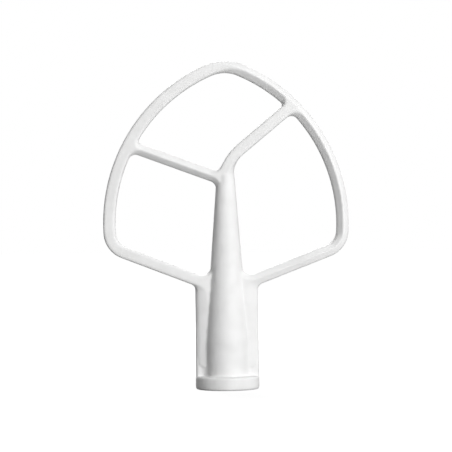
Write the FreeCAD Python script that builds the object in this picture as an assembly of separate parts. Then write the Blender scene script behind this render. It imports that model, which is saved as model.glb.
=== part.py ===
import FreeCAD, Part
import math
import os

# Flat beater for a household stand mixer: one aluminium casting with a thin coating.
# Millimetres. The beater stands on the end face of its hub, as it does on a worktop.
# Z runs up the shaft from the mouth of the drive socket, X runs across the blade,
# and the side that faces -Y is the front.

# Outline of the blade, seen from the front
BLADE_WIDTH = 133.0
SIDE_RADIUS = 93.7
WIDEST_HEIGHT = 89.8
APEX_RADIUS = 25.2
CORNER_RADIUS = 15.0
LOOP_WIDTH = 6.6
BLADE_DEPTH = 8.8

# Lower arms, from the hub out to the corners of the blade
LOWER_ARM_RISE = 49.5
LOWER_ARM_ANGLE = 21.2
LOWER_ARM_WIDTH = 6.4

# Inner arms, from the top of the shaft out to the sides
LEFT_ARM_RISE = 112.95
LEFT_ARM_ANGLE = 20.4
LEFT_ARM_WIDTH = 6.3
RIGHT_ARM_STEP = 10.05
RIGHT_ARM_ANGLE = 39.6
RIGHT_ARM_WIDTH = 6.3
NECK_RADIUS = 38.0
NECK_REACH = 10.0

# Rounding of the corners of the three openings
LOWER_SHAFT_FILLET = 5.0
LEFT_SHAFT_FILLET = 4.5
RIGHT_SHAFT_FILLET = 13.0
CROTCH_FILLET = 4.5
ARM_TOP_FILLET = 2.0
ARM_UNDER_FILLET = 4.0
HUB_ARM_FILLET = 4.0

# Section of the blade: one flat face with rounded edges, one face with a ridge
EDGE_RADIUS = 1.35
RIDGE_RADIUS = 1.0
RIDGE_HEIGHT = 3.2
RIDGE_SHARE = 0.43
CROWN_HEIGHT = 1.6

# Shaft, a round taper that ends in a dome where the inner arms meet
SHAFT_FOOT_RADIUS = 11.7
SHAFT_FOOT_HEIGHT = 26.0
SHAFT_TOP_RADIUS = 4.95
SHAFT_TOP_STEP = 2.05

# Hub: a collar at the foot and a web on each side of the shaft
COLLAR_RADIUS = 17.25
COLLAR_HEIGHT = 7.0
COLLAR_EDGE = 1.0
WEB_STEP = 0.25
WEB_EDGE_THICKNESS = 5.6
WEB_TOP_THINNING = 1.2
WEB_ANGLE = 4.0
WEB_EDGE_RADIUS = 1.3
WEB_FILLET = 5.0

# Drive socket: a blind bore and a bayonet slot for the pin of the mixer's shaft
DRIVE_SHAFT_DIAMETER = 12.7
SOCKET_CLEARANCE = 0.1
SOCKET_DEPTH = 36.0
SOCKET_CHAMFER = 0.5
PIN_DIAMETER = 4.8
PIN_CLEARANCE = 0.2
PIN_HEIGHT = 18.0
PIN_TURN = 30.0
PIN_DROP = 1.5
KEYWAY_REACH = 11.9

# How far the blade runs on inside the shaft and the hub, so that they join as one casting
HIDDEN_MARGIN = 0.25

# Number of steps from the front of the blade to its back
LEVELS = 12

HALF_DEPTH = BLADE_DEPTH / 2
RIDGE_CREST = RIDGE_RADIUS / 3
RIGHT_ARM_RISE = LEFT_ARM_RISE + RIGHT_ARM_STEP
SHAFT_TOP_HEIGHT = LEFT_ARM_RISE + SHAFT_TOP_STEP
SIDE_OFFSET = SIDE_RADIUS - BLADE_WIDTH / 2
SHAFT_SLOPE = (SHAFT_FOOT_RADIUS - SHAFT_TOP_RADIUS) / (SHAFT_TOP_HEIGHT - SHAFT_FOOT_HEIGHT)
WEB_REACH = COLLAR_RADIUS - WEB_STEP
WEB_TOP_COVER = LOWER_ARM_WIDTH / 8
WEB_TOP_HEIGHT = LOWER_ARM_RISE + WEB_REACH * math.tan(math.radians(LOWER_ARM_ANGLE)) + WEB_TOP_COVER
HUB_FOOT = COLLAR_HEIGHT / 2
SHAFT_SINK = SHAFT_TOP_RADIUS - HALF_DEPTH / 2
WEB_SINK = WEB_REACH / 3


class Line:
    """An endless straight line in a plane, run along in one direction."""

    def __init__(self, point, heading):
        size = math.hypot(*heading)
        self.point = point
        self.way = (heading[0] / size, heading[1] / size)

    def shifted(self, left):
        x, y = self.point
        return Line((x - self.way[1] * left, y + self.way[0] * left), self.way)

    def heading(self, _point):
        return self.way

    def nearest(self, point):
        along = dot(minus(point, self.point), self.way)
        return (self.point[0] + self.way[0] * along, self.point[1] + self.way[1] * along)

    def edge(self, start, end, place):
        return Part.LineSegment(place(start), place(end)).toShape()


class Circle:
    """A circle in a plane, run along to the left (turn 1) or to the right (turn -1)."""

    def __init__(self, centre, radius, turn=1):
        self.centre = centre
        self.radius = radius
        self.turn = turn

    def shifted(self, left):
        return Circle(self.centre, self.radius - self.turn * left, self.turn)

    def heading(self, point):
        out = minus(point, self.centre)
        return (-out[1] * self.turn, out[0] * self.turn)

    def nearest(self, point):
        out = minus(point, self.centre)
        scale = self.radius / math.hypot(*out)
        return (self.centre[0] + out[0] * scale, self.centre[1] + out[1] * scale)

    def edge(self, start, end, place):
        first = angle_of(minus(start, self.centre))
        sweep = (angle_of(minus(end, self.centre)) - first) * self.turn % (2 * math.pi)
        middle = polar(self.centre, self.radius, first + self.turn * sweep / 2)
        return Part.Arc(place(start), place(middle), place(end)).toShape()


def minus(a, b):
    return (a[0] - b[0], a[1] - b[1])


def dot(a, b):
    return a[0] * b[0] + a[1] * b[1]


def cross(a, b):
    return a[0] * b[1] - a[1] * b[0]


def angle_of(vector):
    return math.atan2(vector[1], vector[0])


def polar(centre, radius, angle):
    return (centre[0] + radius * math.cos(angle), centre[1] + radius * math.sin(angle))


def chord_points(centre, radius, foot, way):
    """Where a line through foot, the point of it nearest to the centre, cuts a circle."""
    half = math.sqrt(radius ** 2 - dot(minus(foot, centre), minus(foot, centre)))
    return [(foot[0] + way[0] * s, foot[1] + way[1] * s) for s in (-half, half)]


def crossings(a, b):
    """The points where two lines or circles cross."""
    if isinstance(a, Line) and isinstance(b, Line):
        along = cross(minus(b.point, a.point), b.way) / cross(a.way, b.way)
        return [(a.point[0] + a.way[0] * along, a.point[1] + a.way[1] * along)]
    if isinstance(a, Line):
        return chord_points(b.centre, b.radius, a.nearest(b.centre), a.way)
    if isinstance(b, Line):
        return crossings(b, a)
    gap = minus(b.centre, a.centre)
    distance = math.hypot(*gap)
    along = (distance ** 2 + a.radius ** 2 - b.radius ** 2) / (2 * distance)
    way = (gap[0] / distance, gap[1] / distance)
    foot = (a.centre[0] + way[0] * along, a.centre[1] + way[1] * along)
    return chord_points(a.centre, a.radius, foot, (-way[1], way[0]))


def meeting(a, b, turn):
    """The crossing at which the way along a turns to the left (1) or right (-1) onto b."""
    for point in crossings(a, b):
        if cross(a.heading(point), b.heading(point)) * turn > 0:
            return point
    raise ValueError("two stretches of an outline do not meet")


def corner(a, b, radius):
    """The arc that rounds the corner from a to b: to the left, or to the right if negative."""
    turn = 1 if radius > 0 else -1
    centre = meeting(a.shifted(radius), b.shifted(radius), turn)
    return Circle(centre, abs(radius), turn)


def tangent_point(a, b):
    """The point where a line runs on smoothly into a circle, or a circle into a line."""
    if isinstance(a, Line):
        return a.nearest(b.centre)
    return b.nearest(a.centre)


def closed_outline(stretches, radii, place):
    """A closed wire along the stretches, with each corner rounded; radius 0 is tangent."""
    count = len(stretches)
    starts = [None] * count
    ends = [None] * count
    bends = [None] * count
    for i, stretch in enumerate(stretches):
        following = stretches[(i + 1) % count]
        if radii[i] == 0:
            ends[i] = starts[(i + 1) % count] = tangent_point(stretch, following)
            continue
        bends[i] = corner(stretch, following, radii[i])
        ends[i] = stretch.nearest(bends[i].centre)
        starts[(i + 1) % count] = following.nearest(bends[i].centre)
    edges = []
    for i, stretch in enumerate(stretches):
        edges.append(stretch.edge(starts[i], ends[i], place))
        if bends[i]:
            edges.append(bends[i].edge(ends[i], starts[(i + 1) % count], place))
    return Part.Wire(edges)


def upright(y):
    """Puts a point of the front view at the depth y."""
    return lambda point: FreeCAD.Vector(point[0], y, point[1])


def level(z):
    """Puts a point of the plan at the height z."""
    return lambda point: FreeCAD.Vector(point[0], point[1], z)


def flat_inset(depth):
    """How far a wall has drawn in at a depth below the flat face, by its rounded edge."""
    if depth >= EDGE_RADIUS:
        return 0.0
    return EDGE_RADIUS - math.sqrt(EDGE_RADIUS ** 2 - (EDGE_RADIUS - depth) ** 2)


def ridge_inset(depth, reach, height):
    """How far a wall has drawn in at a depth below the ridge, by the slope beside it."""
    slope = math.atan2(height, reach)
    start = RIDGE_RADIUS * (1 - math.cos(slope))
    if depth < start:
        half = math.sqrt(RIDGE_RADIUS ** 2 - (RIDGE_RADIUS - depth) ** 2)
    else:
        half = RIDGE_RADIUS * math.sin(slope) + (depth - start) / math.tan(slope)
    return max(0.0, reach - max(half, RIDGE_CREST))


def member_inset(y, reach, height=RIDGE_HEIGHT):
    """Inset of a wall of a member whose flat face is at the front and ridge at the back."""
    return max(flat_inset(y + HALF_DEPTH), ridge_inset(HALF_DEPTH - y, reach, height))


def loop_outside(y):
    return member_inset(y, LOOP_WIDTH * RIDGE_SHARE)


def loop_inside(y):
    return member_inset(y, LOOP_WIDTH * (1 - RIDGE_SHARE))


def lower_arm(y):
    return member_inset(y, LOWER_ARM_WIDTH / 2, CROWN_HEIGHT)


def left_arm(y):
    return member_inset(-y, LEFT_ARM_WIDTH / 2)


def right_arm(y):
    return member_inset(y, RIGHT_ARM_WIDTH / 2)


def in_shaft(y):
    """Keeps the blade's wall below the round surface of the shaft at every depth."""
    return HIDDEN_MARGIN + SHAFT_SINK * (y / HALF_DEPTH) ** 2


def in_web(y):
    """Keeps the blade's wall below the face and the rounded edge of the web."""
    return HIDDEN_MARGIN + WEB_SINK * (y / HALF_DEPTH) ** 4


def sloped_line(rise, angle, aside, side):
    """A line that climbs from the axis to one side (1 right, -1 left), set off square."""
    turn = math.radians(angle)
    height = rise + aside / math.cos(turn)
    return Line((0, height), (side * math.cos(turn), math.sin(turn)))


def reverse(line):
    return Line(line.point, (-line.way[0], -line.way[1]))


def side_curve(side, inward):
    """The long curve of the blade's right side (1) or left side (-1)."""
    return Circle((-side * SIDE_OFFSET, WIDEST_HEIGHT), SIDE_RADIUS - inward)


def shaft_wall(side):
    """The shaft's outline in the front view, running up."""
    foot = (side * SHAFT_FOOT_RADIUS, SHAFT_FOOT_HEIGHT)
    return Line(foot, (-side * SHAFT_SLOPE, 1))


def outer_wire(y):
    """The outside of the blade at one depth, with a stem that lies inside the hub."""
    right = (loop_outside(-y), lower_arm(-y))
    left = (loop_outside(y), lower_arm(y))
    stem = in_web(y)
    foot = COLLAR_HEIGHT + HUB_ARM_FILLET
    stretches = [
        Line((0, foot), (1, 0)),
        Line((WEB_REACH, 0), (0, 1)).shifted(stem),
        sloped_line(LOWER_ARM_RISE, LOWER_ARM_ANGLE, 0, 1).shifted(right[1]),
        side_curve(1, 0).shifted(right[0]),
        side_curve(-1, 0).shifted(left[0]),
        reverse(sloped_line(LOWER_ARM_RISE, LOWER_ARM_ANGLE, 0, -1)).shifted(left[1]),
        Line((-WEB_REACH, 0), (0, -1)).shifted(stem),
    ]
    radii = [
        HUB_ARM_FILLET,
        -HUB_ARM_FILLET,
        CORNER_RADIUS - (right[0] + right[1]) / 2,
        APEX_RADIUS - (right[0] + left[0]) / 2,
        CORNER_RADIUS - (left[0] + left[1]) / 2,
        -HUB_ARM_FILLET,
        HUB_ARM_FILLET,
    ]
    return closed_outline(stretches, radii, upright(y))


def top_window(y):
    """The upper opening at one depth, above both inner arms."""
    low, arm = left_arm(y), right_arm(y)
    right, left = loop_inside(-y), loop_inside(y)
    upper_edge = sloped_line(RIGHT_ARM_RISE, RIGHT_ARM_ANGLE, RIGHT_ARM_WIDTH / 2, 1)
    touch = polar(upper_edge.point, NECK_REACH, angle_of(upper_edge.way))
    neck = Circle((touch[0] + upper_edge.way[1] * NECK_RADIUS,
                   touch[1] - upper_edge.way[0] * NECK_RADIUS), NECK_RADIUS, -1)
    stretches = [
        reverse(sloped_line(LEFT_ARM_RISE, LEFT_ARM_ANGLE, LEFT_ARM_WIDTH / 2, -1)).shifted(-low),
        neck.shifted(-arm),
        upper_edge.shifted(-arm),
        side_curve(1, LOOP_WIDTH).shifted(-right),
        side_curve(-1, LOOP_WIDTH).shifted(-left),
    ]
    radii = [
        CROTCH_FILLET + (low + arm) / 2,
        0,
        ARM_TOP_FILLET + (arm + right) / 2,
        APEX_RADIUS - LOOP_WIDTH + (right + left) / 2,
        ARM_TOP_FILLET + (left + low) / 2,
    ]
    return closed_outline(stretches, radii, upright(y))


def left_window(y):
    """The lower left opening at one depth."""
    low, shaft, arm, side = lower_arm(y), in_shaft(y), left_arm(y), loop_inside(y)
    stretches = [
        reverse(sloped_line(LOWER_ARM_RISE, LOWER_ARM_ANGLE, LOWER_ARM_WIDTH, -1)).shifted(-low),
        shaft_wall(-1).shifted(-shaft),
        sloped_line(LEFT_ARM_RISE, LEFT_ARM_ANGLE, -LEFT_ARM_WIDTH / 2, -1).shifted(-arm),
        side_curve(-1, LOOP_WIDTH).shifted(-side),
    ]
    radii = [
        LOWER_SHAFT_FILLET + (low + shaft) / 2,
        LEFT_SHAFT_FILLET + (shaft + arm) / 2,
        ARM_UNDER_FILLET + (arm + side) / 2,
        CORNER_RADIUS - LOOP_WIDTH + (side + low) / 2,
    ]
    return closed_outline(stretches, radii, upright(y))


def right_window(y):
    """The lower right opening at one depth."""
    low, shaft, arm, side = lower_arm(-y), in_shaft(y), right_arm(y), loop_inside(-y)
    stretches = [
        sloped_line(LOWER_ARM_RISE, LOWER_ARM_ANGLE, LOWER_ARM_WIDTH, 1).shifted(-low),
        side_curve(1, LOOP_WIDTH).shifted(-side),
        reverse(sloped_line(RIGHT_ARM_RISE, RIGHT_ARM_ANGLE, -RIGHT_ARM_WIDTH / 2, 1)).shifted(-arm),
        reverse(shaft_wall(1)).shifted(-shaft),
    ]
    radii = [
        CORNER_RADIUS - LOOP_WIDTH + (low + side) / 2,
        ARM_UNDER_FILLET + (side + arm) / 2,
        RIGHT_SHAFT_FILLET + (arm + shaft) / 2,
        LOWER_SHAFT_FILLET + (shaft + low) / 2,
    ]
    return closed_outline(stretches, radii, upright(y))


def blade():
    """The loop and its arms, skinned through outlines at depths that crowd to the faces."""
    depths = [-HALF_DEPTH * math.cos(math.pi * i / LEVELS) for i in range(LEVELS + 1)]
    faces = []
    ends = ([], [])
    for outline in (outer_wire, top_window, left_window, right_window):
        wires = [outline(y) for y in depths]
        faces += Part.makeLoft(wires, False, False).Faces
        ends[0].append(wires[0])
        ends[1].append(wires[-1])
    for wires in ends:
        faces.append(Part.makeFace(wires, "Part::FaceMakerBullseye"))
    shell = Part.makeShell(faces)
    shell.sewShape()
    return Part.makeSolid(shell)


def shaft_radius(z):
    """Radius of the shaft at a height: straight at its foot, and tapered above."""
    return SHAFT_FOOT_RADIUS - max(0.0, z - SHAFT_FOOT_HEIGHT) * SHAFT_SLOPE


def shaft():
    """The tapered shaft above the webs, with the dome at its top."""
    points = [
        FreeCAD.Vector(0, 0, WEB_TOP_HEIGHT),
        FreeCAD.Vector(shaft_radius(WEB_TOP_HEIGHT), 0, WEB_TOP_HEIGHT),
        FreeCAD.Vector(SHAFT_TOP_RADIUS, 0, SHAFT_TOP_HEIGHT),
    ]
    edges = [Part.LineSegment(a, b).toShape() for a, b in zip(points, points[1:])]
    top = FreeCAD.Vector(0, 0, SHAFT_TOP_HEIGHT + SHAFT_TOP_RADIUS)
    half = polar((0, SHAFT_TOP_HEIGHT), SHAFT_TOP_RADIUS, math.pi / 4)
    edges.append(Part.Arc(points[-1], FreeCAD.Vector(half[0], 0, half[1]), top).toShape())
    edges.append(Part.LineSegment(top, points[0]).toShape())
    section = Part.Face(Part.Wire(edges))
    return section.revolve(FreeCAD.Vector(), FreeCAD.Vector(0, 0, 1), 360).Solids[0]


def hub_section(z):
    """The webs and the foot of the shaft between them, at one height."""
    thinning = WEB_TOP_THINNING * (z - HUB_FOOT) / (WEB_TOP_HEIGHT - HUB_FOOT)
    edge = (WEB_EDGE_THICKNESS - thinning) / 2
    slant = math.radians(WEB_ANGLE)
    run, climb = math.cos(slant), math.sin(slant)
    core = Circle((0, 0), shaft_radius(z))
    stretches = [
        Line((WEB_REACH, 0), (0, 1)),
        Line((WEB_REACH, edge), (-run, climb)),
        core,
        Line((-WEB_REACH, edge), (-run, -climb)),
        Line((-WEB_REACH, 0), (0, -1)),
        Line((-WEB_REACH, -edge), (run, -climb)),
        core,
        Line((WEB_REACH, -edge), (run, climb)),
    ]
    half = [WEB_EDGE_RADIUS, -WEB_FILLET, -WEB_FILLET, WEB_EDGE_RADIUS]
    return closed_outline(stretches, half + half, level(z))


def hub():
    """The shaft's foot with a web on each side and hollow fillets between, up to the arms."""
    wires = [hub_section(z) for z in (HUB_FOOT, SHAFT_FOOT_HEIGHT, WEB_TOP_HEIGHT)]
    return Part.makeLoft(wires, True, True)


def collar():
    """The round collar that the beater stands on."""
    disc = Part.makeCylinder(COLLAR_RADIUS, COLLAR_HEIGHT)
    rims = [e for e in disc.Edges if isinstance(e.Curve, Part.Circle)]
    return disc.makeFillet(COLLAR_EDGE, rims)


def socket():
    """The bore for the mixer's shaft, with a lead-in at its mouth."""
    radius = DRIVE_SHAFT_DIAMETER / 2 + SOCKET_CLEARANCE
    bore = Part.makeCylinder(radius, SOCKET_DEPTH)
    lead_in = Part.makeCone(radius + SOCKET_CHAMFER, radius, SOCKET_CHAMFER)
    return bore.fuse(lead_in)


def pin_slot():
    """The bayonet slot in the back of the hub: up, round and down into its notch."""
    width = PIN_DIAMETER + 2 * PIN_CLEARANCE
    entry = Part.makeBox(width, KEYWAY_REACH, PIN_HEIGHT, FreeCAD.Vector(-width / 2, 0, 0))
    end = radial_hole(width, PIN_HEIGHT, 0)
    run = Part.makeCylinder(KEYWAY_REACH, width, FreeCAD.Vector(0, 0, PIN_HEIGHT - width / 2),
                            FreeCAD.Vector(0, 0, 1), PIN_TURN)
    run.rotate(FreeCAD.Vector(), FreeCAD.Vector(0, 0, 1), 90 - PIN_TURN)
    notch_top = radial_hole(width, PIN_HEIGHT, PIN_TURN)
    notch = radial_hole(width, PIN_HEIGHT - PIN_DROP, PIN_TURN)
    drop = Part.makeBox(width, KEYWAY_REACH, PIN_DROP,
                        FreeCAD.Vector(-width / 2, 0, PIN_HEIGHT - PIN_DROP))
    drop.rotate(FreeCAD.Vector(), FreeCAD.Vector(0, 0, 1), -PIN_TURN)
    return entry.multiFuse([end, run, notch_top, notch, drop])


def radial_hole(width, height, turn):
    """A round hole of the pin's width, straight out from the axis through the hub's back."""
    hole = Part.makeCylinder(width / 2, KEYWAY_REACH, FreeCAD.Vector(0, 0, height),
                             FreeCAD.Vector(0, 1, 0))
    hole.rotate(FreeCAD.Vector(), FreeCAD.Vector(0, 0, 1), -turn)
    return hole


def beater_casting():
    body = hub().multiFuse([shaft(), collar(), blade()])
    body = body.cut(socket()).cut(pin_slot())
    return body.Solids[0]


def main():
    os.makedirs("parts", exist_ok=True)
    casting = beater_casting()
    casting.exportStep("parts/beater_casting.step")
    box = casting.BoundBox
    print("beater_casting", round(casting.Volume / 1000, 2), "cm3", "valid", casting.isValid())
    print("size", round(box.XLength, 2), round(box.YLength, 2), round(box.ZLength, 2))


main()
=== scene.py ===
"""Dresses the flat beater: its coated surface, and the white stage it is shown on."""

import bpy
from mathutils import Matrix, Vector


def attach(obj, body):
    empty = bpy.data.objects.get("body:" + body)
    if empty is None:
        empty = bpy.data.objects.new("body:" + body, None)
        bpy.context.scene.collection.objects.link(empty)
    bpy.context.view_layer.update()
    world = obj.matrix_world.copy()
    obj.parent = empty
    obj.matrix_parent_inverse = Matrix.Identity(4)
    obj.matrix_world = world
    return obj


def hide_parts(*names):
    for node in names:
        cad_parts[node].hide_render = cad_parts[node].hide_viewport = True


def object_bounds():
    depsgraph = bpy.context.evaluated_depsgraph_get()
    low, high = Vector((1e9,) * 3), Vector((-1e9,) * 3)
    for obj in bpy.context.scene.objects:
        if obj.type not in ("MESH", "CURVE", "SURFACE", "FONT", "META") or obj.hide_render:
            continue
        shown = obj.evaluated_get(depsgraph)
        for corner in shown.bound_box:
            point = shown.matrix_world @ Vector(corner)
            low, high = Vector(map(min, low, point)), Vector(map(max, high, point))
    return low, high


bl_info = {
    "name": "Flat Beater Finish",
    "version": (1, 0, 0),
    "blender": (4, 5, 0),
    "location": "3D View > Sidebar > Beater",
    "description": "Gives a cast flat beater its soft white coating and a plain stage",
    "category": "Object",
}

import math

import bmesh
import bpy
from bpy.props import FloatProperty, FloatVectorProperty, IntProperty, PointerProperty
from mathutils import Matrix, Vector

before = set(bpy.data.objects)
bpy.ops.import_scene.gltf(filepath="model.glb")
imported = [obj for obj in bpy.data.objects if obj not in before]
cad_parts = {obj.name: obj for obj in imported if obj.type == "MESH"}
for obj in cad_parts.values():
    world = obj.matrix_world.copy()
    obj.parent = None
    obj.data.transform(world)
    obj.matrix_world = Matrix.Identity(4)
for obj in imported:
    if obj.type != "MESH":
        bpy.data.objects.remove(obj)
cad_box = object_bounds()

# The casting's node and its body in the frame
CASTING = "beater_casting"
BODY = "root"

BEATER_HEIGHT = cad_box[1][2] - cad_box[0][2]

# How far the film's noise strays from its middle, and how much the roughness follows it
TONE_SPREAD = 0.15
ROUGHNESS_SPREAD = 0.1


# Settings

class BeaterCoatingSettings(bpy.types.PropertyGroup):
    """The film of coating over the casting."""

    mesh_step: FloatProperty(
        name="Mesh Step", description="Spacing of the coated surface's mesh",
        default=0.0006, min=0.0004, unit="LENGTH", precision=5)
    point_flow: IntProperty(
        name="Point Flow", description="How far the wet coating has drawn in at edges and corners",
        default=2, min=0, max=20)
    slope_flow: IntProperty(
        name="Slope Flow", description="How far the shading of the coating is evened out",
        default=2, min=0, max=20)
    colour: FloatVectorProperty(
        name="Colour", description="Colour of the coating", subtype="COLOR",
        default=(0.84, 0.84, 0.838), min=0.0, max=1.0)
    thin_colour: FloatVectorProperty(
        name="Thin Colour", description="Colour where the coating lies thinner", subtype="COLOR",
        default=(0.80, 0.80, 0.797), min=0.0, max=1.0)
    roughness: FloatProperty(
        name="Roughness", description="Roughness of the satin coating", subtype="FACTOR",
        default=0.5, min=0.0, max=1.0)
    peel_size: FloatProperty(
        name="Peel Size", description="Size of the fine orange peel in the coating",
        default=0.0007, min=0.0001, unit="LENGTH", precision=5)
    peel_height: FloatProperty(
        name="Peel Height", description="Height of the fine orange peel",
        default=0.000002, min=0.0, unit="LENGTH", precision=6)
    swell_size: FloatProperty(
        name="Swell Size", description="Size of the gentle waves of the cast surface",
        default=0.009, min=0.001, unit="LENGTH", precision=5)
    swell_height: FloatProperty(
        name="Swell Height", description="Height of the gentle waves of the cast surface",
        default=0.000015, min=0.0, unit="LENGTH", precision=6)


class BeaterStageSettings(bpy.types.PropertyGroup):
    """The floor, the lamps and the camera."""

    view_distance: FloatProperty(
        name="Camera Distance", description="From the camera to the blade",
        default=1.15, min=0.2, unit="LENGTH")
    view_width: FloatProperty(
        name="View Width", description="Width that the camera sees at the blade",
        default=0.2452, min=0.05, unit="LENGTH")
    view_height: FloatProperty(
        name="View Height", description="Height of the camera above the floor",
        default=0.0883, min=0.0, unit="LENGTH")
    view_roll: FloatProperty(
        name="View Roll", description="Lean of the beater in the picture, to the left",
        default=math.radians(0.6), subtype="ANGLE")
    key_strength: FloatProperty(
        name="Key Strength", description="Light that the key lamp brings to the front of the blade",
        default=1.16, min=0.0)
    key_bearing: FloatProperty(
        name="Key Bearing", description="How far round to the right of the camera the key lamp stands",
        default=math.radians(31), subtype="ANGLE")
    key_rise: FloatProperty(
        name="Key Rise", description="How far the key lamp stands above the blade",
        default=math.radians(8), subtype="ANGLE")
    key_size: FloatProperty(
        name="Key Size", description="Side of the square key lamp",
        default=0.8, min=0.05, unit="LENGTH")
    back_strength: FloatProperty(
        name="Back Strength", description="Light that the back lamp brings to the back of the blade",
        default=0.8, min=0.0)
    back_bearing: FloatProperty(
        name="Back Bearing", description="How far round to the right of the camera the back lamp stands",
        default=math.radians(190), subtype="ANGLE")
    back_rise: FloatProperty(
        name="Back Rise", description="How far the back lamp stands above the blade",
        default=math.radians(38), subtype="ANGLE")
    back_size: FloatProperty(
        name="Back Size", description="Side of the square back lamp",
        default=0.5, min=0.05, unit="LENGTH")
    top_strength: FloatProperty(
        name="Top Strength", description="Light that the top lamp brings to what faces up",
        default=0.35, min=0.0)
    top_bearing: FloatProperty(
        name="Top Bearing", description="How far round to the right of the camera the top lamp stands",
        default=math.radians(20), subtype="ANGLE")
    top_rise: FloatProperty(
        name="Top Rise", description="How far the top lamp stands above the blade",
        default=math.radians(72), subtype="ANGLE")
    top_size: FloatProperty(
        name="Top Size", description="Side of the square top lamp",
        default=0.9, min=0.05, unit="LENGTH")
    lamp_distance: FloatProperty(
        name="Lamp Distance", description="From each lamp to the beater",
        default=1.2, min=0.3, unit="LENGTH")
    fill_strength: FloatProperty(
        name="Fill Strength", description="Even light from all round",
        default=0.05, min=0.0)
    floor_radius: FloatProperty(
        name="Floor Radius", description="Radius of the white floor",
        default=6.0, min=0.3, unit="LENGTH")
    floor_white: FloatProperty(
        name="Floor White", description="How white the floor is to the light that falls on it",
        subtype="FACTOR", default=0.35, min=0.0, max=1.0)
    floor_shade: FloatProperty(
        name="Floor Shade", description="Share of the floor's white that a shadow takes away",
        subtype="FACTOR", default=0.22, min=0.0, max=1.0)
    floor_glow: FloatProperty(
        name="Floor Glow", description="Share of the floor's white that a shadow leaves",
        subtype="FACTOR", default=0.85, min=0.0, max=1.0)
    shadow_reach: FloatProperty(
        name="Shadow Reach", description="How far out the floor still shows a shadow",
        default=0.5, min=0.05, unit="LENGTH")


# Mesh helpers

def new_object(name, mesh):
    """A new object at the origin that holds the mesh."""
    made = bpy.data.objects.new(name, mesh)
    bpy.context.scene.collection.objects.link(made)
    return made


def merged_copy(node, name):
    """A copy of a CAD node's mesh as one closed skin."""
    skin = bmesh.new()
    skin.from_mesh(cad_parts[node].data)
    bmesh.ops.remove_doubles(skin, verts=skin.verts, dist=1e-6)
    mesh = bpy.data.meshes.new(name)
    skin.to_mesh(mesh)
    skin.free()
    mesh.materials.clear()
    return mesh


def settled_mesh(obj, name):
    """The mesh that the object's modifiers make, as a plain mesh."""
    graph = bpy.context.evaluated_depsgraph_get()
    mesh = bpy.data.meshes.new_from_object(obj.evaluated_get(graph), depsgraph=graph)
    mesh.name = name
    return mesh


def remove_object(obj):
    """Removes a helper object with its mesh."""
    mesh = obj.data
    bpy.data.objects.remove(obj)
    bpy.data.meshes.remove(mesh)


# Node helpers

def link(tree, start, end):
    """A link from one node's output to another's input."""
    tree.links.new(start, end)


def new_node(tree, kind, place, **values):
    """A node at a place in the tree, with its settings."""
    made = tree.nodes.new(kind)
    made.location = (place[0] * 200, place[1] * -180)
    for key, value in values.items():
        setattr(made, key, value)
    return made


def add_input(tree, name, kind, default=None):
    """A named input of a node group."""
    made = tree.interface.new_socket(name=name, in_out="INPUT", socket_type=kind)
    if default is not None:
        made.default_value = default
    return made


def add_output(tree, name, kind):
    """A named output of a node group."""
    return tree.interface.new_socket(name=name, in_out="OUTPUT", socket_type=kind)


def calculate(tree, operation, place, first, second=None, third=None):
    """A Math node; each value is a number or another node's output."""
    made = new_node(tree, "ShaderNodeMath", place, operation=operation)
    for socket, value in zip(made.inputs, (first, second, third)):
        if value is None:
            continue
        if isinstance(value, (int, float)):
            socket.default_value = value
        else:
            link(tree, value, socket)
    return made.outputs[0]


# Coated surface

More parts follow.
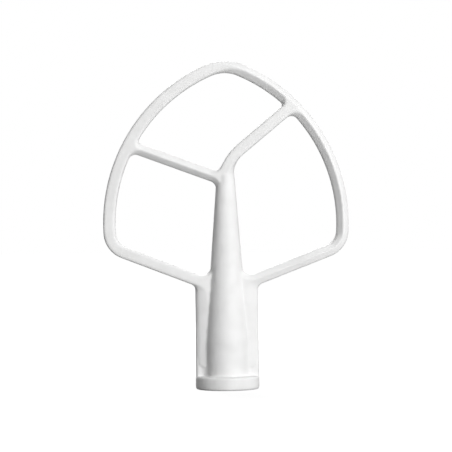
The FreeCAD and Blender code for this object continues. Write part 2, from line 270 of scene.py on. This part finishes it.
def coating_flow_tree():
    """Lays a fresh skin on the casting and lets it round off, as a wet film of coating does.

    The skin's points settle on the casting and then draw together a little. Its shading
    takes the casting's own slopes, evened out between neighbours, so that no facet shows.
    """
    tree = bpy.data.node_groups.new("Coating Flow", "GeometryNodeTree")
    add_input(tree, "Geometry", "NodeSocketGeometry")
    add_input(tree, "Casting", "NodeSocketObject")
    add_input(tree, "Point Flow", "NodeSocketInt", 2)
    add_input(tree, "Slope Flow", "NodeSocketInt", 4)
    add_input(tree, "Material", "NodeSocketMaterial")
    add_output(tree, "Geometry", "NodeSocketGeometry")
    entry = new_node(tree, "NodeGroupInput", (0, 0))
    casting = new_node(tree, "GeometryNodeObjectInfo", (1, 1))
    nearest = new_node(tree, "GeometryNodeProximity", (2, 1), target_element="FACES")
    seat = new_node(tree, "GeometryNodeSetPosition", (3, 0))
    position = new_node(tree, "GeometryNodeInputPosition", (3, 2))
    draw_in = new_node(tree, "GeometryNodeBlurAttribute", (4, 1), data_type="FLOAT_VECTOR")
    spread = new_node(tree, "GeometryNodeSetPosition", (5, 0))
    slope = new_node(tree, "GeometryNodeInputNormal", (3, 4))
    slope_there = new_node(tree, "GeometryNodeSampleNearestSurface", (4, 3), data_type="FLOAT_VECTOR")
    even_out = new_node(tree, "GeometryNodeBlurAttribute", (5, 3), data_type="FLOAT_VECTOR")
    upright = new_node(tree, "ShaderNodeVectorMath", (6, 3), operation="NORMALIZE")
    smooth = new_node(tree, "GeometryNodeSetShadeSmooth", (6, 0))
    shade = new_node(tree, "GeometryNodeSetMeshNormal", (7, 0), mode="FREE")
    real = new_node(tree, "GeometryNodeRealizeInstances", (8, 0))
    coat = new_node(tree, "GeometryNodeSetMaterial", (9, 0))
    result = new_node(tree, "NodeGroupOutput", (10, 0))
    link(tree, entry.outputs["Casting"], casting.inputs["Object"])
    link(tree, casting.outputs["Geometry"], nearest.inputs[0])
    link(tree, entry.outputs["Geometry"], seat.inputs["Geometry"])
    link(tree, nearest.outputs["Position"], seat.inputs["Position"])
    link(tree, position.outputs["Position"], draw_in.inputs["Value"])
    link(tree, entry.outputs["Point Flow"], draw_in.inputs["Iterations"])
    link(tree, seat.outputs["Geometry"], spread.inputs["Geometry"])
    link(tree, draw_in.outputs["Value"], spread.inputs["Position"])
    link(tree, casting.outputs["Geometry"], slope_there.inputs["Mesh"])
    link(tree, slope.outputs["True Normal"], slope_there.inputs["Value"])
    link(tree, slope_there.outputs["Value"], even_out.inputs["Value"])
    link(tree, entry.outputs["Slope Flow"], even_out.inputs["Iterations"])
    link(tree, even_out.outputs["Value"], upright.inputs[0])
    link(tree, spread.outputs["Geometry"], smooth.inputs["Geometry"])
    link(tree, smooth.outputs["Geometry"], shade.inputs["Mesh"])
    link(tree, upright.outputs["Vector"], shade.inputs["Custom Normal"])
    link(tree, shade.outputs["Mesh"], real.inputs["Geometry"])
    link(tree, real.outputs["Geometry"], coat.inputs["Geometry"])
    link(tree, entry.outputs["Material"], coat.inputs["Material"])
    link(tree, coat.outputs["Geometry"], result.inputs["Geometry"])
    return tree


def add_tree(obj, tree, values):
    """Puts a geometry tree on the object, with its inputs set by name."""
    modifier = obj.modifiers.new(tree.name, "NODES")
    modifier.node_group = tree
    for item in tree.interface.items_tree:
        if item.item_type == "SOCKET" and item.in_out == "INPUT" and item.name in values:
            modifier[item.identifier] = values[item.name]
    return modifier


def film_group():
    """Waves and orange peel of the coated surface: a height in metres and a drift of tone."""
    tree = bpy.data.node_groups.new("Coating Film", "ShaderNodeTree")
    add_input(tree, "Peel Size", "NodeSocketFloat", 0.001)
    add_input(tree, "Peel Height", "NodeSocketFloat", 0.00001)
    add_input(tree, "Swell Size", "NodeSocketFloat", 0.01)
    add_input(tree, "Swell Height", "NodeSocketFloat", 0.0001)
    add_output(tree, "Height", "NodeSocketFloat")
    add_output(tree, "Tone", "NodeSocketFloat")
    entry = new_node(tree, "NodeGroupInput", (0, 0))
    place = new_node(tree, "ShaderNodeTexCoord", (0, 2)).outputs["Object"]
    waves = {}
    for row, (name, detail) in enumerate((("Peel", 2.0), ("Swell", 1.0))):
        scale = calculate(tree, "DIVIDE", (1, row * 2), 1.0, entry.outputs[name + " Size"])
        noise = new_node(tree, "ShaderNodeTexNoise", (2, row * 2))
        noise.inputs["Detail"].default_value = detail
        link(tree, place, noise.inputs["Vector"])
        link(tree, scale, noise.inputs["Scale"])
        waves[name] = noise.outputs["Fac"]
    peel = calculate(tree, "MULTIPLY", (3, 0), waves["Peel"], entry.outputs["Peel Height"])
    swell = calculate(tree, "MULTIPLY", (3, 2), waves["Swell"], entry.outputs["Swell Height"])
    result = new_node(tree, "NodeGroupOutput", (5, 0))
    link(tree, calculate(tree, "ADD", (4, 0), peel, swell), result.inputs["Height"])
    link(tree, waves["Swell"], result.inputs["Tone"])
    return tree


def coating_material(settings):
    """Satin white coating over the casting."""
    material = bpy.data.materials.new("white_nylon_coating")
    material.use_nodes = True
    tree = material.node_tree
    tree.nodes.clear()
    film = new_node(tree, "ShaderNodeGroup", (0, 0), node_tree=film_group())
    film.inputs["Peel Size"].default_value = settings.peel_size
    film.inputs["Peel Height"].default_value = settings.peel_height
    film.inputs["Swell Size"].default_value = settings.swell_size
    film.inputs["Swell Height"].default_value = settings.swell_height
    tone = new_node(tree, "ShaderNodeMapRange", (1, 0))
    tone.inputs["From Min"].default_value = 0.5 - TONE_SPREAD
    tone.inputs["From Max"].default_value = 0.5 + TONE_SPREAD
    mix = new_node(tree, "ShaderNodeMix", (2, 0), data_type="RGBA")
    mix.inputs["A"].default_value = (*settings.thin_colour, 1.0)
    mix.inputs["B"].default_value = (*settings.colour, 1.0)
    rough = calculate(tree, "MULTIPLY_ADD", (2, 1), film.outputs["Tone"],
                      ROUGHNESS_SPREAD, settings.roughness - ROUGHNESS_SPREAD / 2)
    bump = new_node(tree, "ShaderNodeBump", (2, 2))
    bump.inputs["Distance"].default_value = 1.0
    surface = new_node(tree, "ShaderNodeBsdfPrincipled", (4, 0))
    surface.inputs["IOR"].default_value = 1.5
    surface.inputs["Specular IOR Level"].default_value = 0.15
    result = new_node(tree, "ShaderNodeOutputMaterial", (6, 0))
    link(tree, film.outputs["Tone"], tone.inputs["Value"])
    link(tree, tone.outputs["Result"], mix.inputs["Factor"])
    link(tree, mix.outputs["Result"], surface.inputs["Base Color"])
    link(tree, rough, surface.inputs["Roughness"])
    link(tree, film.outputs["Height"], bump.inputs["Height"])
    link(tree, bump.outputs["Normal"], surface.inputs["Normal"])
    link(tree, surface.outputs["BSDF"], result.inputs["Surface"])
    return material


class BEATER_OT_coat_casting(bpy.types.Operator):
    """Makes the coated casting: a fresh skin over the CAD casting, softened and finished"""

    bl_idname = "beater.coat_casting"
    bl_label = "Coat Casting"

    def execute(self, context):
        settings = context.scene.beater_coating
        bare = new_object("bare_casting", merged_copy(CASTING, "bare_casting"))
        skin = new_object("skin", merged_copy(CASTING, "skin"))
        remesh = skin.modifiers.new("Skin", "REMESH")
        remesh.mode = "VOXEL"
        remesh.voxel_size = settings.mesh_step
        add_tree(skin, coating_flow_tree(), {
            "Casting": bare,
            "Point Flow": settings.point_flow,
            "Slope Flow": settings.slope_flow,
            "Material": coating_material(settings),
        })
        beater = new_object("coated_beater", settled_mesh(skin, "coated_beater"))
        remove_object(skin)
        remove_object(bare)
        if not beater.data.polygons:
            raise RuntimeError("the coated casting came out empty")
        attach(beater, BODY)
        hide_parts(CASTING)
        return {"FINISHED"}


# Stage

def floor_mesh(radius):
    """A flat round floor."""
    disc = bmesh.new()
    bmesh.ops.create_circle(disc, cap_ends=True, segments=128, radius=radius)
    mesh = bpy.data.meshes.new("floor")
    disc.to_mesh(mesh)
    disc.free()
    return mesh


def floor_material(settings):
    """A white floor that keeps the beater's soft shadow, and is plain white further out."""
    material = bpy.data.materials.new("white_floor")
    material.use_nodes = True
    tree = material.node_tree
    tree.nodes.clear()
    path = new_node(tree, "ShaderNodeLightPath", (0, 0))
    place = new_node(tree, "ShaderNodeTexCoord", (0, 2))
    reach = new_node(tree, "ShaderNodeVectorMath", (1, 2), operation="LENGTH")
    glow_by_reach = new_node(tree, "ShaderNodeMapRange", (2, 2), interpolation_type="SMOOTHSTEP")
    glow_by_reach.inputs["From Min"].default_value = settings.shadow_reach / 2
    glow_by_reach.inputs["From Max"].default_value = settings.shadow_reach
    glow_by_reach.inputs["To Min"].default_value = settings.floor_glow
    paint = new_node(tree, "ShaderNodeBsdfDiffuse", (3, 0))
    seen_paint = new_node(tree, "ShaderNodeBsdfDiffuse", (3, 1))
    glow = new_node(tree, "ShaderNodeEmission", (3, 2))
    seen = new_node(tree, "ShaderNodeAddShader", (4, 1))
    both = new_node(tree, "ShaderNodeMixShader", (5, 0))
    result = new_node(tree, "ShaderNodeOutputMaterial", (6, 0))
    paint.inputs["Color"].default_value = (*[settings.floor_white] * 3, 1.0)
    seen_paint.inputs["Color"].default_value = (*[settings.floor_shade] * 3, 1.0)
    link(tree, place.outputs["Object"], reach.inputs[0])
    link(tree, reach.outputs["Value"], glow_by_reach.inputs["Value"])
    link(tree, glow_by_reach.outputs["Result"], glow.inputs["Strength"])
    link(tree, seen_paint.outputs["BSDF"], seen.inputs[0])
    link(tree, glow.outputs["Emission"], seen.inputs[1])
    link(tree, path.outputs["Is Camera Ray"], both.inputs[0])
    link(tree, paint.outputs["BSDF"], both.inputs[1])
    link(tree, seen.outputs["Shader"], both.inputs[2])
    link(tree, both.outputs["Shader"], result.inputs["Surface"])
    return material


def white_world(fill):
    """A white surround for the camera, and even light for everything else."""
    world = bpy.data.worlds.new("white_surround")
    world.use_nodes = True
    tree = world.node_tree
    tree.nodes.clear()
    path = new_node(tree, "ShaderNodeLightPath", (0, 0))
    seen = path.outputs["Is Camera Ray"]
    for step, ray in enumerate(("Is Glossy Ray", "Is Transmission Ray")):
        seen = calculate(tree, "MAXIMUM", (1 + step, 0), seen, path.outputs[ray])
    strength = new_node(tree, "ShaderNodeMapRange", (3, 0))
    strength.inputs["To Min"].default_value = fill
    strength.inputs["To Max"].default_value = 1.0
    light = new_node(tree, "ShaderNodeBackground", (4, 0))
    light.inputs["Color"].default_value = (1.0, 1.0, 1.0, 1.0)
    result = new_node(tree, "ShaderNodeOutputWorld", (5, 0))
    link(tree, seen, strength.inputs["Value"])
    link(tree, strength.outputs["Result"], light.inputs["Strength"])
    link(tree, light.outputs["Background"], result.inputs["Surface"])
    bpy.context.scene.world = world


def place_lamp(name, settings):
    """A square soft lamp that faces the beater, from its own settings."""
    strength, bearing, rise, size = (
        getattr(settings, name + end) for end in ("_strength", "_bearing", "_rise", "_size"))
    lamp = bpy.data.lights.new(name, "AREA")
    lamp.shape = "SQUARE"
    lamp.size = size
    # A small lamp of this power lights white paint to the strength
    lamp.energy = strength * (math.pi * settings.lamp_distance) ** 2
    made = bpy.data.objects.new(name, lamp)
    bpy.context.scene.collection.objects.link(made)
    way = Vector((math.sin(bearing) * math.cos(rise), -math.cos(bearing) * math.cos(rise), math.sin(rise)))
    made.location = Vector((0, 0, BEATER_HEIGHT / 2)) + way * settings.lamp_distance
    made.rotation_euler = way.to_track_quat("Z", "Y").to_euler()


def place_camera(settings):
    """The camera of the photo: level with the middle of the beater and far away."""
    lens = bpy.data.cameras.new("camera")
    lens.angle = 2 * math.atan(settings.view_width / 2 / settings.view_distance)
    made = bpy.data.objects.new("camera", lens)
    bpy.context.scene.collection.objects.link(made)
    turn = Matrix.Rotation(math.radians(90), 4, "X") @ Matrix.Rotation(-settings.view_roll, 4, "Z")
    made.matrix_world = Matrix.Translation((0, -settings.view_distance, settings.view_height)) @ turn
    bpy.context.scene.camera = made


class BEATER_OT_set_stage(bpy.types.Operator):
    """Sets the white floor, the lamps and the camera"""

    bl_idname = "beater.set_stage"
    bl_label = "Set Stage"

    def execute(self, context):
        settings = context.scene.beater_stage
        floor = new_object("floor", floor_mesh(settings.floor_radius))
        floor.data.materials.append(floor_material(settings))
        white_world(settings.fill_strength)
        for name in ("key", "back", "top"):
            place_lamp(name, settings)
        place_camera(settings)
        context.scene.view_settings.view_transform = "Standard"
        return {"FINISHED"}


class BEATER_PT_sidebar(bpy.types.Panel):
    """The beater's tools in the sidebar"""

    bl_idname = "BEATER_PT_sidebar"
    bl_label = "Flat Beater"
    bl_space_type = "VIEW_3D"
    bl_region_type = "UI"
    bl_category = "Beater"

    def draw(self, context):
        scene = context.scene
        for settings, operator in (
                (scene.beater_coating, BEATER_OT_coat_casting),
                (scene.beater_stage, BEATER_OT_set_stage)):
            box = self.layout.box()
            for name in settings.__annotations__:
                box.prop(settings, name)
            box.operator(operator.bl_idname)


CLASSES = (
    BeaterCoatingSettings,
    BeaterStageSettings,
    BEATER_OT_coat_casting,
    BEATER_OT_set_stage,
    BEATER_PT_sidebar,
)


def register():
    for cls in CLASSES:
        bpy.utils.register_class(cls)
    bpy.types.Scene.beater_coating = PointerProperty(type=BeaterCoatingSettings)
    bpy.types.Scene.beater_stage = PointerProperty(type=BeaterStageSettings)


def unregister():
    del bpy.types.Scene.beater_stage
    del bpy.types.Scene.beater_coating
    for cls in reversed(CLASSES):
        bpy.utils.unregister_class(cls)


def main():
    """Registers the add-on and builds the finish and the stage."""
    register()
    bpy.ops.beater.coat_casting()
    bpy.ops.beater.set_stage()


if __name__ == "__main__":
    main()
